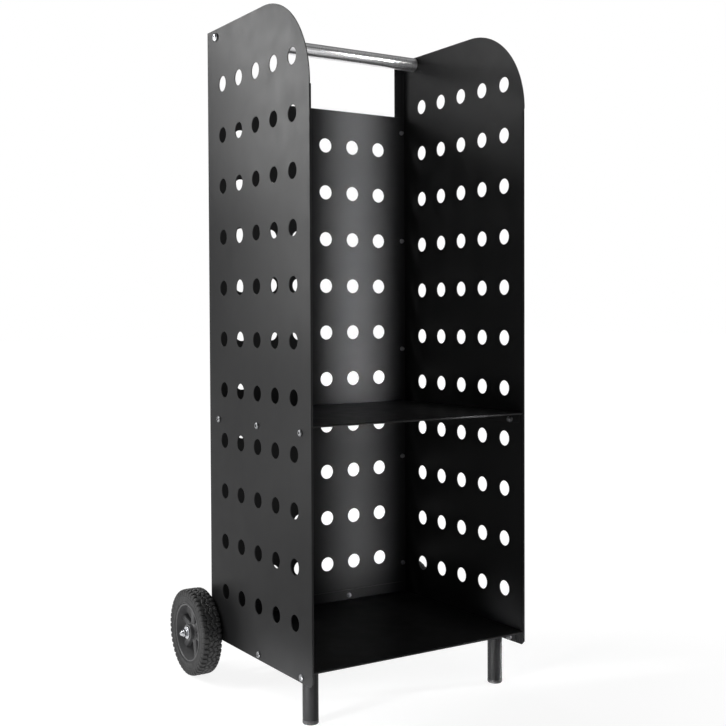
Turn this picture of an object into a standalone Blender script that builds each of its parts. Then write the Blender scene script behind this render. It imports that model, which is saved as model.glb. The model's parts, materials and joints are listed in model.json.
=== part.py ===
"""Firewood trolley: a tall perforated steel case with two shelves, a tube handle, two legs and two wheels.

Metres, +Z up. The open front faces -Y and the wheels are at +Y. The origin is on the floor, in the middle of
the trolley's width and of its length from the front edge to the back of the wheels.
"""

import math

import bmesh
import bpy
from mathutils import Matrix

# Sheet-metal case
SHEET = 0.0015
GAP = 0.0003
OUTER_WIDTH = 0.415
PANEL_DEPTH = 0.3555
PANEL_BOTTOM = 0.071
PANEL_TOP = 1.120
CORNER_RADIUS = 0.146
CORNER_STEPS = 12
FLANGE = 0.021
HEM_DEPTH = 0.008
HEM_FOLD = 0.002
NOSE_CUT = 0.006
JOIN = 0.0001

# Ventilation holes
HOLE_RADIUS = 0.013
HOLE_SIDES = 8
ROW_PITCH = 0.0865
SIDE_ROWS = 11
SIDE_COLUMNS = 5
SIDE_COLUMN_PITCH = 0.0606
SIDE_HOLE_MARGIN = 0.0533
FIRST_ROW = 0.1586
BACK_ROWS = 10
BACK_COLUMNS = 6
BACK_COLUMN_PITCH = 0.0582
BACK_FIRST_ROW = 0.1666
BACK_BOTTOM = 0.078
BACK_TOP = 1.011

# Wheels and axle: a spacer and a washer are each a start and an end along X, and a radius
WHEEL_RADIUS = 0.075
WHEEL_WIDTH = 0.0355
TYRE_STEPS = 32
RIM_STEPS = 24
SMALL_ROUND = 16
AXLE_SETBACK = 0.0205
AXLE_RADIUS = 0.005
TYRE_SEAT = 0.0503
RIM_RADIUS = 0.050
RIM_WALL = 0.003
RIM_WIDTH = 0.033
SPOKES = 6
SPOKE_TURN = 40
SPOKE_WIDTH = 0.012
SPOKE_DEPTH = 0.010
HUB_RADIUS = 0.0145
BUSH_RADIUS = 0.008
HUB_INNER = 0.2103
HUB_OUTER = 0.2440
SPACER = (0.2078, 0.2100, 0.009)
WASHER = (0.2443, 0.2459, 0.0108)
NUT_BASE = 0.2462
NUT_TIP = 0.2580
NUT_RADIUS = 0.0072
NUT_DOME_RADIUS = 0.006
AXLE_END = 0.2530
WHEEL_INNER = 0.2105

# Shelves
SHELF_FRONT_INSET = 0.0015
MIDDLE_SHELF_TOP = 0.4656
MIDDLE_FLANGE = 0.018
MIDDLE_BOLT_DROP = 0.013
BOTTOM_SHELF_TOP = 0.095
BOTTOM_FLANGE = 0.0225
BOTTOM_BOLT_DROP = 0.0155
BOTTOM_REAR_FLANGE = 0.0185
SHELF_HEM = 0.0034
SHELF_BOLT_MARGIN = (0.0333, 0.0379)

# Handle
HANDLE_RADIUS = 0.0125
HANDLE_WALL = 0.0012
HANDLE_REAR_MARGIN = 0.0362
HANDLE_HEIGHT = 1.1066
INSERT_LENGTH = 0.025

# Legs
LEG_RADIUS = 0.0125
LEG_WALL = 0.0015
LEG_INSET_X = 0.0251
LEG_INSET_Y = 0.0502
LEG_PLATE = 0.0025
LEG_PLATE_LENGTH = 0.051
FOOT_RADIUS = 0.0127
FOOT_HEIGHT = 0.006
FOOT_PLUG = 0.020

# Axle brackets
BRACKET = 0.0025
BRACKET_TOP = 0.157
BRACKET_EAR_TOP = 0.137
BRACKET_TAB_INSET = 0.005
BRACKET_INNER = 0.186
BRACKET_EAR_RADIUS = 0.0125
BRACKET_BOLT_HEIGHT = 0.086

# Fasteners: head radius, head height, shank radius, nut radius, nut height
M5 = (0.0047, 0.0025, 0.0025, 0.0044, 0.0040)
M6 = (0.0055, 0.0025, 0.0030, 0.0054, 0.0052)
M8_HEAD_RADIUS = 0.007
M8_HEAD_HEIGHT = 0.004
M8_SHANK_RADIUS = 0.004
M8_SHANK_LENGTH = 0.020
BOLT_STEPS = 8
BOLT_HOLE_SIDES = 6
BOLT_END = 0.0012
BACK_BOLT_X = 0.1985
BACK_BOLT_FIRST = 0.1502
BACK_BOLT_PITCH = 0.2078
BACK_BOLTS = 5
REAR_BOLT_X = 0.074
REAR_BOLT_RISE = 0.0086

# Worked out from the above
HALF_WIDTH = OUTER_WIDTH / 2
INNER_X = HALF_WIDTH - SHEET
SHELF_X = INNER_X - GAP
LENGTH = PANEL_DEPTH + AXLE_SETBACK + WHEEL_RADIUS
FRONT = -LENGTH / 2
REAR = FRONT + PANEL_DEPTH
AXLE_Y = REAR + AXLE_SETBACK
AXLE_Z = WHEEL_RADIUS
BACK_REAR_FACE = REAR - SHEET - GAP
BACK_FRONT_FACE = BACK_REAR_FACE - SHEET
SHELF_REAR = BACK_FRONT_FACE - GAP
HANDLE_Y = REAR - HANDLE_REAR_MARGIN
LEG_X = HALF_WIDTH - LEG_INSET_X
LEG_Y = FRONT + LEG_INSET_Y
WHEEL_X = WHEEL_INNER + WHEEL_WIDTH / 2
BRACKET_FACE = REAR + GAP
SIDES = {"left": -1, "right": 1}

# Axes that lay a flat outline (u, v) in a plane, with its thickness along the third axis
IN_YZ = Matrix(((0, 0, 1), (1, 0, 0), (0, 1, 0))).to_4x4()
IN_XZ = Matrix(((1, 0, 0), (0, 0, -1), (0, 1, 0))).to_4x4()
IN_XY = Matrix.Identity(4)
ALONG_X = Matrix.Rotation(math.pi / 2, 4, "Y")
ALONG_Y = Matrix.Rotation(-math.pi / 2, 4, "X")


def clear_scene():
    for obj in list(bpy.data.objects):
        bpy.data.objects.remove(obj)


def new_collection(name):
    made = bpy.data.collections.new(name)
    bpy.context.scene.collection.children.link(made)
    return made


def new_material(name, colour, roughness, metallic):
    made = bpy.data.materials.new(name)
    made.use_nodes = True
    shader = made.node_tree.nodes["Principled BSDF"]
    shader.inputs["Base Color"].default_value = (*colour, 1.0)
    shader.inputs["Roughness"].default_value = roughness
    shader.inputs["Metallic"].default_value = metallic
    return made


clear_scene()
PARTS = new_collection("firewood_trolley")
CUTTERS = new_collection("cutters")
BLACK_COAT = ((0.022, 0.022, 0.024), 0.42, 0.0)
BRIGHT_STEEL = ((0.78, 0.78, 0.79), 0.16, 1.0)
ZINC = ((0.62, 0.63, 0.65), 0.30, 1.0)
RUBBER = ((0.030, 0.030, 0.031), 0.78, 0.0)
BLACK_PLASTIC = ((0.035, 0.035, 0.036), 0.48, 0.0)


def add_part(name, mesh, finish):
    """A named sub-part with its own material."""
    mesh.name = name
    mesh.materials.append(new_material(name, *finish))
    obj = bpy.data.objects.new(name, mesh)
    PARTS.objects.link(obj)
    return obj


def add_helper(name, mesh):
    """A shape that only cuts or joins."""
    obj = bpy.data.objects.new(name, mesh)
    obj.hide_render = True
    obj.display_type = "WIRE"
    CUTTERS.objects.link(obj)
    return obj


def join(obj, name, mesh):
    """Unites a helper shape with a part."""
    modifier = obj.modifiers.new(name, "BOOLEAN")
    modifier.operation = "UNION"
    modifier.object = add_helper(f"{obj.name}_{name}", mesh)


def cut(obj, name, mesh):
    """Takes a helper shape away from a part."""
    modifier = obj.modifiers.new(name, "BOOLEAN")
    modifier.operation = "DIFFERENCE"
    modifier.object = add_helper(f"{obj.name}_{name}", mesh)


def box(low, high):
    """A box mesh between two corners, given in any order."""
    shape = bmesh.new()
    size = [abs(b - a) for a, b in zip(low, high)]
    middle = [(a + b) / 2 for a, b in zip(low, high)]
    place = Matrix.Translation(middle) @ Matrix.Diagonal((*size, 1))
    bmesh.ops.create_cube(shape, size=1, matrix=place)
    mesh = bpy.data.meshes.new("box")
    shape.to_mesh(mesh)
    shape.free()
    return mesh


def rod(radius, start, end, sides, place):
    """A solid cylinder mesh along the local Z axis from start to end."""
    shape = bmesh.new()
    middle = Matrix.Translation((0, 0, (start + end) / 2))
    bmesh.ops.create_cone(
        shape, cap_ends=True, segments=sides, radius1=radius, radius2=radius,
        depth=abs(end - start), matrix=place @ middle,
    )
    mesh = bpy.data.meshes.new("rod")
    shape.to_mesh(mesh)
    shape.free()
    return mesh


def arc(centre, radius, first, last, steps):
    """Points along an arc, angles in degrees, both ends included."""
    points = []
    for step in range(steps + 1):
        angle = math.radians(first + (last - first) * step / steps)
        points.append((centre[0] + radius * math.cos(angle), centre[1] + radius * math.sin(angle)))
    return points


def circle(centre, radius, sides):
    """A ring of points, turned by an amount of its own so that neighbouring holes' points never line up."""
    turn = (9973.1 * centre[0] + 7919.3 * centre[1]) % 360
    return arc(centre, radius, turn, turn + 360 * (1 - 1 / sides), sides - 1)


def plate(loops, middle, thickness, axes):
    """A flat sheet: the first loop is its outline, the others are holes. Middle is across its thickness."""
    flat = bpy.data.curves.new("plate", "CURVE")
    flat.dimensions = "2D"
    flat.fill_mode = "BOTH"
    flat.extrude = thickness / 2
    for loop in loops:
        spline = flat.splines.new("POLY")
        spline.points.add(len(loop) - 1)
        spline.use_cyclic_u = True
        for point, (u, v) in zip(spline.points, loop):
            point.co = (u, v, 0, 1)
    drawn = bpy.data.objects.new("plate", flat)
    bpy.context.scene.collection.objects.link(drawn)
    graph = bpy.context.evaluated_depsgraph_get()
    mesh = bpy.data.meshes.new_from_object(drawn.evaluated_get(graph))
    bpy.data.objects.remove(drawn)
    shape = bmesh.new()
    shape.from_mesh(mesh)
    bmesh.ops.remove_doubles(shape, verts=shape.verts, dist=0.00001)
    bmesh.ops.transform(shape, matrix=axes @ Matrix.Translation((0, 0, middle)), verts=shape.verts)
    bmesh.ops.recalc_face_normals(shape, faces=shape.faces)
    shape.to_mesh(mesh)
    shape.free()
    return mesh


def rectangle(low, high):
    return [(low[0], low[1]), (high[0], low[1]), (high[0], high[1]), (low[0], high[1])]


def turned(name, profile, steps, finish, place, ring=False):
    """A piece turned about its local Z axis. The profile runs from the top down the outer side; a ring's
    profile closes on itself, and a solid piece's starts and ends on the axis."""
    mesh = bpy.data.meshes.new(name)
    points = [(radius, 0, height) for radius, height in profile]
    edges = [(i, i + 1) for i in range(len(points) - 1)]
    if ring:
        edges.append((len(points) - 1, 0))
    mesh.from_pydata(points, edges, [])
    obj = add_part(name, mesh, finish)
    obj.matrix_world = place
    screw = obj.modifiers.new("turn", "SCREW")
    screw.axis = "Z"
    screw.steps = steps
    screw.render_steps = steps
    screw.use_merge_vertices = True
    screw.merge_threshold = 0.00001
    screw.use_smooth_shade = True
    return obj


def bolt(name, size, grip, place):
    """A button-head bolt with its flanged nut. Its local origin is on the outer face under the head, and
    local +Z points out of the head. Grip is the thickness of everything that it clamps."""
    head_radius, head_height, shank_radius, nut_radius, nut_height = size
    nut_top = -grip - GAP
    nut_bottom = nut_top - nut_height
    profile = [
        (0, GAP + head_height),
        (head_radius * 0.62, GAP + head_height * 0.86),
        (head_radius, GAP + head_height * 0.30),
        (head_radius, GAP),
        (shank_radius, GAP),
        (shank_radius, nut_top),
        (nut_radius, nut_top),
        (nut_radius, nut_bottom),
        (shank_radius, nut_bottom),
        (shank_radius, nut_bottom - BOLT_END),
        (0, nut_bottom - BOLT_END),
    ]
    return turned(name, profile, BOLT_STEPS, ZINC, place)


def shelf_bolt_ys():
    """The three bolt places along a side, front to back."""
    first = FRONT + SHELF_BOLT_MARGIN[0]
    last = REAR - SHELF_BOLT_MARGIN[1]
    return [first, (first + last) / 2, last]


def back_bolt_heights():
    return [BACK_BOLT_FIRST + BACK_BOLT_PITCH * i for i in range(BACK_BOLTS)]


def build_side_panel(side, sign):
    """The folded side sheet: a web with holes, a rear flange turned in and a rolled front edge."""
    tangent = PANEL_TOP - CORNER_RADIUS
    outline = [(REAR, PANEL_TOP), (REAR, PANEL_BOTTOM), (FRONT + NOSE_CUT, PANEL_BOTTOM),
               (FRONT, PANEL_BOTTOM + NOSE_CUT)]
    outline += arc((FRONT + CORNER_RADIUS, tangent), CORNER_RADIUS, 180, 90, CORNER_STEPS)
    loops = [outline]
    for column in range(SIDE_COLUMNS):
        for row in range(SIDE_ROWS):
            y = FRONT + SIDE_HOLE_MARGIN + SIDE_COLUMN_PITCH * column
            z = FIRST_ROW + ROW_PITCH * row
            loops.append(circle((y, z), HOLE_RADIUS, HOLE_SIDES))
    for y in shelf_bolt_ys():
        for z in (MIDDLE_SHELF_TOP - MIDDLE_BOLT_DROP, BOTTOM_SHELF_TOP - BOTTOM_BOLT_DROP):
            loops.append(circle((y, z), M6[2] + 2 * GAP, BOLT_HOLE_SIDES))
    loops.append(circle((HANDLE_Y, HANDLE_HEIGHT), M8_SHANK_RADIUS + 2 * GAP, BOLT_HOLE_SIDES))
    web_middle = sign * (HALF_WIDTH - SHEET / 2)
    panel = add_part(f"{side}_side_panel", plate(loops, web_middle, SHEET, IN_YZ), BLACK_COAT)

    low = (sign * (INNER_X - FLANGE), PANEL_BOTTOM + 10 * JOIN)
    high = (web_middle, PANEL_TOP - 10 * JOIN)
    flange_loops = [rectangle(low, high)]
    for z in back_bolt_heights() + [BRACKET_BOLT_HEIGHT]:
        flange_loops.append(circle((sign * BACK_BOLT_X, z), M5[2] + 2 * GAP, BOLT_HOLE_SIDES))
    flange_thickness = SHEET - JOIN
    flange = plate(flange_loops, -(REAR - SHEET + flange_thickness / 2), flange_thickness, IN_XZ)
    join(panel, "rear_flange", flange)

    hem_low = (sign * (INNER_X - HEM_FOLD), FRONT + JOIN, PANEL_BOTTOM + 2 * NOSE_CUT)
    hem_high = (web_middle, FRONT + HEM_DEPTH, tangent)
    join(panel, "front_hem", box(hem_low, hem_high))


def build_back_panel():
    """The rear sheet, in front of the side panels' flanges."""
    loops = [rectangle((-SHELF_X, BACK_BOTTOM), (SHELF_X, BACK_TOP))]
    for column in range(BACK_COLUMNS):
        for row in range(BACK_ROWS):
            x = (column - (BACK_COLUMNS - 1) / 2) * BACK_COLUMN_PITCH
            z = BACK_FIRST_ROW + ROW_PITCH * row
            loops.append(circle((x, z), HOLE_RADIUS, HOLE_SIDES))
    places = [(BACK_BOLT_X, z) for z in back_bolt_heights() + [BRACKET_BOLT_HEIGHT]]
    places.append((REAR_BOLT_X, BOTTOM_SHELF_TOP + REAR_BOLT_RISE))
    for x, z in places:
        for sign in SIDES.values():
            loops.append(circle((sign * x, z), M5[2] + 2 * GAP, BOLT_HOLE_SIDES))
    middle = -(BACK_FRONT_FACE + BACK_REAR_FACE) / 2
    add_part("back_panel", plate(loops, middle, SHEET, IN_XZ), BLACK_COAT)


def build_shelf(name, top, flange, bolt_drop, rear_low, rear_high):
    """A shelf tray: a flat top, side flanges folded down, a rear flange between two heights, a front hem."""
    front = FRONT + SHELF_FRONT_INSET
    flange_front = FRONT + HEM_DEPTH + 10 * GAP
    clear_x = INNER_X - HEM_FOLD - GAP
    notch = flange_front - 5 * JOIN
    outline = [(-SHELF_X, SHELF_REAR), (-SHELF_X, flange_front), (-clear_x, notch), (-clear_x, front),
               (clear_x, front), (clear_x, notch), (SHELF_X, flange_front), (SHELF_X, SHELF_REAR)]
    shelf = add_part(name, plate([outline], top - SHEET / 2, SHEET, IN_XY), BLACK_COAT)
    side_thickness = SHEET - JOIN
    for side, sign in SIDES.items():
        corner = (flange_front + JOIN, top - flange)
        loops = [rectangle(corner, (SHELF_REAR - JOIN, top - SHEET / 2))]
        for y in shelf_bolt_ys():
            loops.append(circle((y, top - bolt_drop), M6[2] + 2 * GAP, BOLT_HOLE_SIDES))
        middle = sign * (SHELF_X - SHEET + side_thickness / 2)
        join(shelf, f"{side}_flange", plate(loops, middle, side_thickness, IN_YZ))
    rear_x = SHELF_X - SHEET - 10 * GAP
    loops = [rectangle((-rear_x, rear_low), (rear_x, rear_high))]
    if rear_high > top:
        for sign in SIDES.values():
            centre = (sign * REAR_BOLT_X, top + REAR_BOLT_RISE)
            loops.append(circle(centre, M5[2] + 2 * GAP, BOLT_HOLE_SIDES))
    rear_middle = -(SHELF_REAR - SHEET + side_thickness / 2)
    join(shelf, "rear_flange", plate(loops, rear_middle, side_thickness, IN_XZ))
    hem_low = (-clear_x + JOIN, front + JOIN, top - SHELF_HEM)
    join(shelf, "front_hem", box(hem_low, (clear_x - JOIN, front + HEM_DEPTH, top - SHEET / 2)))


def build_shelves():
    middle_low = MIDDLE_SHELF_TOP - MIDDLE_FLANGE
    middle_high = MIDDLE_SHELF_TOP - SHEET / 2
    build_shelf("middle_shelf", MIDDLE_SHELF_TOP, MIDDLE_FLANGE, MIDDLE_BOLT_DROP, middle_low, middle_high)
    bottom_low = BOTTOM_SHELF_TOP - SHEET / 2
    bottom_high = BOTTOM_SHELF_TOP + BOTTOM_REAR_FLANGE
    build_shelf("bottom_shelf", BOTTOM_SHELF_TOP, BOTTOM_FLANGE, BOTTOM_BOLT_DROP, bottom_low, bottom_high)


def outward(sign, x, y, z):
    """A place whose local +Z points out of the trolley along X."""
    return Matrix.Translation((sign * x, y, z)) @ Matrix.Rotation(sign * math.pi / 2, 4, "Y")


def backward(x, y, z):
    """A place whose local +Z points backwards, along +Y."""
    return Matrix.Translation((x, y, z)) @ ALONG_Y


def build_handle():
    """The bright tube across the rear top, with a threaded insert and a bolt at each end."""
    half = INNER_X - GAP
    bore = HANDLE_RADIUS - HANDLE_WALL
    wall = [(HANDLE_RADIUS, half), (HANDLE_RADIUS, -half), (bore, -half), (bore, half)]
    turned("handle_tube", wall, 24, BRIGHT_STEEL, outward(1, 0, HANDLE_Y, HANDLE_HEIGHT), ring=True)
    for side, sign in SIDES.items():
        outer, inner = bore - GAP, M8_SHANK_RADIUS + GAP
        insert = [(outer, 0), (outer, -INSERT_LENGTH), (inner, -INSERT_LENGTH), (inner, 0)]
        place = outward(sign, half - GAP, HANDLE_Y, HANDLE_HEIGHT)
        turned(f"handle_insert_{side}", insert, SMALL_ROUND, ZINC, place, ring=True)
        head = [
            (0, GAP + M8_HEAD_HEIGHT),
            (M8_HEAD_RADIUS * 0.55, GAP + M8_HEAD_HEIGHT * 0.92),
            (M8_HEAD_RADIUS * 0.9, GAP + M8_HEAD_HEIGHT * 0.55),
            (M8_HEAD_RADIUS, GAP + M8_HEAD_HEIGHT * 0.15),
            (M8_HEAD_RADIUS, GAP),
            (M8_SHANK_RADIUS, GAP),
            (M8_SHANK_RADIUS, -M8_SHANK_LENGTH),
            (0, -M8_SHANK_LENGTH),
        ]
        turned(f"handle_bolt_{side}", head, 14, ZINC, outward(sign, HALF_WIDTH, HANDLE_Y, HANDLE_HEIGHT))


def build_leg(side, sign):
    """A leg tube welded to an angle plate under the bottom shelf, and its plastic foot cap."""
    plate_top = BOTTOM_SHELF_TOP - SHEET - GAP
    tube_top = plate_top - LEG_PLATE / 2
    tube_bottom = FOOT_HEIGHT + GAP
    bore = LEG_RADIUS - LEG_WALL
    wall = [(LEG_RADIUS, tube_top), (LEG_RADIUS, tube_bottom), (bore, tube_bottom), (bore, tube_top)]
    place = Matrix.Translation((sign * LEG_X, LEG_Y, 0))
    leg = turned(f"leg_{side}", wall, SMALL_ROUND, BLACK_COAT, place, ring=True)

    tab_outer = SHELF_X - SHEET - GAP
    plate_inner = LEG_X - LEG_RADIUS - LEG_PLATE
    first = shelf_bolt_ys()[0] - 0.014
    last = first + LEG_PLATE_LENGTH
    low = (sign * plate_inner, first, plate_top - LEG_PLATE)
    join(leg, "plate", box(low, (sign * tab_outer, last, plate_top)))
    tab_bottom = BOTTOM_SHELF_TOP - BOTTOM_FLANGE + GAP
    loops = [rectangle((first + JOIN, tab_bottom), (last - JOIN, plate_top - LEG_PLATE / 2))]
    centre = (shelf_bolt_ys()[0], BOTTOM_SHELF_TOP - BOTTOM_BOLT_DROP)
    loops.append(circle(centre, M6[2] + 2 * GAP, BOLT_HOLE_SIDES))
    middle = sign * (tab_outer - LEG_PLATE / 2 - JOIN / 2)
    join(leg, "tab", plate(loops, middle, LEG_PLATE - JOIN, IN_YZ))

    plug = bore - GAP
    cap = [(0, FOOT_PLUG), (plug * 0.92, FOOT_PLUG), (plug, FOOT_PLUG - 0.001), (plug, FOOT_HEIGHT),
           (FOOT_RADIUS, FOOT_HEIGHT)]
    cap += arc((FOOT_RADIUS - 0.0025, 0.0025), 0.0025, 0, -90, 3)
    cap.append((0, 0))
    turned(f"leg_foot_{side}", cap, SMALL_ROUND, BLACK_PLASTIC, place)


def build_axle_bracket(side, sign):
    """A U-shaped steel bracket on the rear flange, whose two ears carry the axle."""
    face = BRACKET_FACE
    ear_bottom = AXLE_Z - BRACKET_EAR_RADIUS
    ear = [(face + JOIN, BRACKET_EAR_TOP), (face + JOIN, ear_bottom)]
    ear += arc((AXLE_Y, AXLE_Z), BRACKET_EAR_RADIUS, -90, 30, 6)
    ear.append((face + 2 * BRACKET, BRACKET_EAR_TOP))
    bore = circle((AXLE_Y, AXLE_Z), AXLE_RADIUS + 2 * GAP, SMALL_ROUND)
    outer_middle = sign * (HALF_WIDTH - BRACKET / 2)
    bracket = add_part(f"axle_bracket_{side}", plate([ear, bore], outer_middle, BRACKET, IN_YZ), BLACK_COAT)
    inner_middle = sign * (BRACKET_INNER + BRACKET / 2)
    inner = BRACKET_INNER + JOIN
    outer = HALF_WIDTH - JOIN
    low = ear_bottom + 10 * JOIN
    tab = BRACKET_EAR_TOP - 10 * JOIN
    outline = [(inner, low), (outer, low), (outer, tab), (outer - BRACKET_TAB_INSET, tab + BRACKET)]
    outline += [(outer - BRACKET_TAB_INSET, BRACKET_TOP), (inner + BRACKET_TAB_INSET, BRACKET_TOP)]
    outline += [(inner + BRACKET_TAB_INSET, tab + BRACKET), (inner, tab)]
    loops = [[(sign * x, z) for x, z in outline]]
    for z in (BACK_BOLT_FIRST, BRACKET_BOLT_HEIGHT):
        loops.append(circle((sign * BACK_BOLT_X, z), M5[2] + 2 * GAP, BOLT_HOLE_SIDES))
    join(bracket, "base", plate(loops, -(face + BRACKET / 2), BRACKET, IN_XZ))
    join(bracket, "inner_ear", plate([ear, bore], inner_middle, BRACKET, IN_YZ))


def build_axle():
    """The axle rod, with a spacer, a washer and a cap nut at each end."""
    place = Matrix.Translation((0, AXLE_Y, AXLE_Z)) @ ALONG_X
    mesh = rod(AXLE_RADIUS, -AXLE_END, AXLE_END, SMALL_ROUND, Matrix.Identity(4))
    axle = add_part("axle", mesh, ZINC)
    axle.matrix_world = place
    bore = AXLE_RADIUS + GAP
    for side, sign in SIDES.items():
        for name, start, end, radius in (("wheel_spacer", *SPACER), ("wheel_washer", *WASHER)):
            length = end - start
            ring = [(radius, length), (radius, 0), (bore, 0), (bore, length)]
            turned(f"{name}_{side}", ring, SMALL_ROUND, ZINC, outward(sign, start, AXLE_Y, AXLE_Z), ring=True)
        height = NUT_TIP - NUT_BASE
        bore_end = AXLE_END + GAP - NUT_BASE
        dome = arc((0, height - NUT_DOME_RADIUS), NUT_DOME_RADIUS, 70, 10, 3)
        skirt = [(NUT_RADIUS, height * 0.42), (NUT_RADIUS, 0), (bore, 0), (bore, bore_end), (0, bore_end)]
        cap = [(0, height), *dome, *skirt]
        turned(f"wheel_cap_nut_{side}", cap, SMALL_ROUND, ZINC, outward(sign, NUT_BASE, AXLE_Y, AXLE_Z))


def build_wheel(side, sign):
    """A rubber tyre on a spoked plastic rim, with a bush in its hub. Each piece's origin is on the axle."""
    place = outward(sign, WHEEL_X, AXLE_Y, AXLE_Z)
    half = WHEEL_WIDTH / 2
    crown = [(WHEEL_RADIUS, half * 0.80), (WHEEL_RADIUS, -half * 0.80)]
    outer_side = [(TYRE_SEAT, half * 0.86), (0.056, half * 0.96), (0.067, half), (0.0736, half * 0.94)]
    inner_side = [(radius, -height) for radius, height in reversed(outer_side)]
    turned(f"tyre_{side}", outer_side + crown + inner_side, TYRE_STEPS, RUBBER, place, ring=True)

    rim_half = RIM_WIDTH / 2
    inner_radius = RIM_RADIUS - RIM_WALL
    barrel = [(RIM_RADIUS, rim_half), (RIM_RADIUS, -rim_half)]
    barrel += [(inner_radius, -rim_half), (inner_radius, rim_half)]
    rim = turned(f"wheel_rim_{side}", barrel, RIM_STEPS, BLACK_PLASTIC, place, ring=True)
    hub_low = HUB_INNER - WHEEL_X
    hub_high = HUB_OUTER - WHEEL_X
    join(rim, "hub", rod(HUB_RADIUS, hub_low, hub_high, SMALL_ROUND, place))
    reach = RIM_RADIUS - RIM_WALL / 2
    for bar in range(SPOKES // 2):
        turn = place @ Matrix.Rotation(math.radians(360 * bar / SPOKES + SPOKE_TURN), 4, "Z")
        spoke = box((-SPOKE_WIDTH / 2, -reach, -SPOKE_DEPTH / 2), (SPOKE_WIDTH / 2, reach, SPOKE_DEPTH / 2))
        spoke.transform(turn)
        join(rim, f"spokes_{bar}", spoke)
    cut(rim, "bore", rod(BUSH_RADIUS + GAP, hub_low - 0.01, hub_high + 0.01, SMALL_ROUND, place))

    bore = AXLE_RADIUS + GAP
    bush = [(BUSH_RADIUS, hub_high), (BUSH_RADIUS, hub_low), (bore, hub_low), (bore, hub_high)]
    turned(f"wheel_bush_{side}", bush, SMALL_ROUND, BLACK_PLASTIC, place, ring=True)


def build_bolts(side, sign):
    """Every shelf, back-panel and bracket bolt of one side."""
    shelf_grip = SHEET + GAP + SHEET
    shelves = {"middle": MIDDLE_SHELF_TOP - MIDDLE_BOLT_DROP, "bottom": BOTTOM_SHELF_TOP - BOTTOM_BOLT_DROP}
    for shelf, z in shelves.items():
        for number, y in enumerate(shelf_bolt_ys(), 1):
            holds_leg = shelf == "bottom" and number == 1
            grip = shelf_grip + (GAP + LEG_PLATE if holds_leg else 0)
            place = outward(sign, HALF_WIDTH, y, z)
            bolt(f"{shelf}_shelf_bolt_{side}_{number}", M6, grip, place)
    bracket_face = BRACKET_FACE + BRACKET
    bracket_grip = bracket_face - BACK_FRONT_FACE
    for number, z in enumerate(back_bolt_heights(), 1):
        holds_bracket = number == 1
        face = bracket_face if holds_bracket else REAR
        grip = bracket_grip if holds_bracket else shelf_grip
        bolt(f"back_panel_bolt_{side}_{number}", M5, grip, backward(sign * BACK_BOLT_X, face, z))
    place = backward(sign * BACK_BOLT_X, bracket_face, BRACKET_BOLT_HEIGHT)
    bolt(f"axle_bracket_bolt_{side}", M5, bracket_grip, place)
    place = backward(sign * REAR_BOLT_X, BACK_REAR_FACE, BOTTOM_SHELF_TOP + REAR_BOLT_RISE)
    bolt(f"bottom_shelf_rear_bolt_{side}", M5, shelf_grip, place)


def smooth_round_faces():
    """Shades every round part smooth, and keeps its corners sharp."""
    for obj in PARTS.objects:
        obj.data.shade_smooth()
        obj.data.set_sharp_from_angle(angle=math.radians(35))


build_back_panel()
build_shelves()
build_handle()
build_axle()
for side_name, side_sign in SIDES.items():
    build_side_panel(side_name, side_sign)
    build_leg(side_name, side_sign)
    build_axle_bracket(side_name, side_sign)
    build_wheel(side_name, side_sign)
    build_bolts(side_name, side_sign)
smooth_round_faces()
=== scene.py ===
"""The look of the firewood trolley: folded, perforated and powder-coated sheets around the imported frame."""

import json
import math

import bmesh
import bpy
from mathutils import Matrix, Vector

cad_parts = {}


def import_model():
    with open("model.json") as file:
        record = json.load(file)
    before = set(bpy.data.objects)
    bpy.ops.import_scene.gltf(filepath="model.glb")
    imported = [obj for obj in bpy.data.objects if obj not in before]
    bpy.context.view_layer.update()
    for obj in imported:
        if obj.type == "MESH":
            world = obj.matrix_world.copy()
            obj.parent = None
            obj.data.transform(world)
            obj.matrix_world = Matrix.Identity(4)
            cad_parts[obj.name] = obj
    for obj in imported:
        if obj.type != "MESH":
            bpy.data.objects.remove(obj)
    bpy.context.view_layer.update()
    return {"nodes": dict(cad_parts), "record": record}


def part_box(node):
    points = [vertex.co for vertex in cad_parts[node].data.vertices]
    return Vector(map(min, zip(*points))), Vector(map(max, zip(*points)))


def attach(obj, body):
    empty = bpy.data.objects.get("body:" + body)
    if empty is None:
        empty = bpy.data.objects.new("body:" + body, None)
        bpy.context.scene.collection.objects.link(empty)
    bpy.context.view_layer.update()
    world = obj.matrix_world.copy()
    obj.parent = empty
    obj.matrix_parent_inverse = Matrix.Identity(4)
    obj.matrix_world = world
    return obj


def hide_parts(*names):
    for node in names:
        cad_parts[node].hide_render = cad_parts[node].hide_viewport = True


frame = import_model()

# Sheet metal
SHEET = 0.0015
GAP = 0.0003
EDGE_ROUND = 0.00035
BEND_RADIUS = 0.0024
HEM_RADIUS = 0.0010
HEM_DEPTH = 0.008
BEND_STEPS = 6
CORNER_RADIUS = 0.146
CORNER_STEPS = 40
FLANGE_CORNER = 0.003
SHELF_CORNER = 0.004
BACK_CORNER = 0.002
PLATE_CORNER = 0.005
MITRE = 0.006
TOUCHING = 0.000002

# Ventilation holes
HOLE_RADIUS = 0.013
ROW_PITCH = 0.0865
SIDE_ROWS = 11
SIDE_COLUMNS = 5
SIDE_COLUMN_PITCH = 0.0606
SIDE_HOLE_MARGIN = 0.0533
FIRST_ROW = 0.1586
BACK_ROWS = 10
BACK_COLUMNS = 6
BACK_COLUMN_PITCH = 0.0582
BACK_FIRST_ROW = 0.1666

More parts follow.
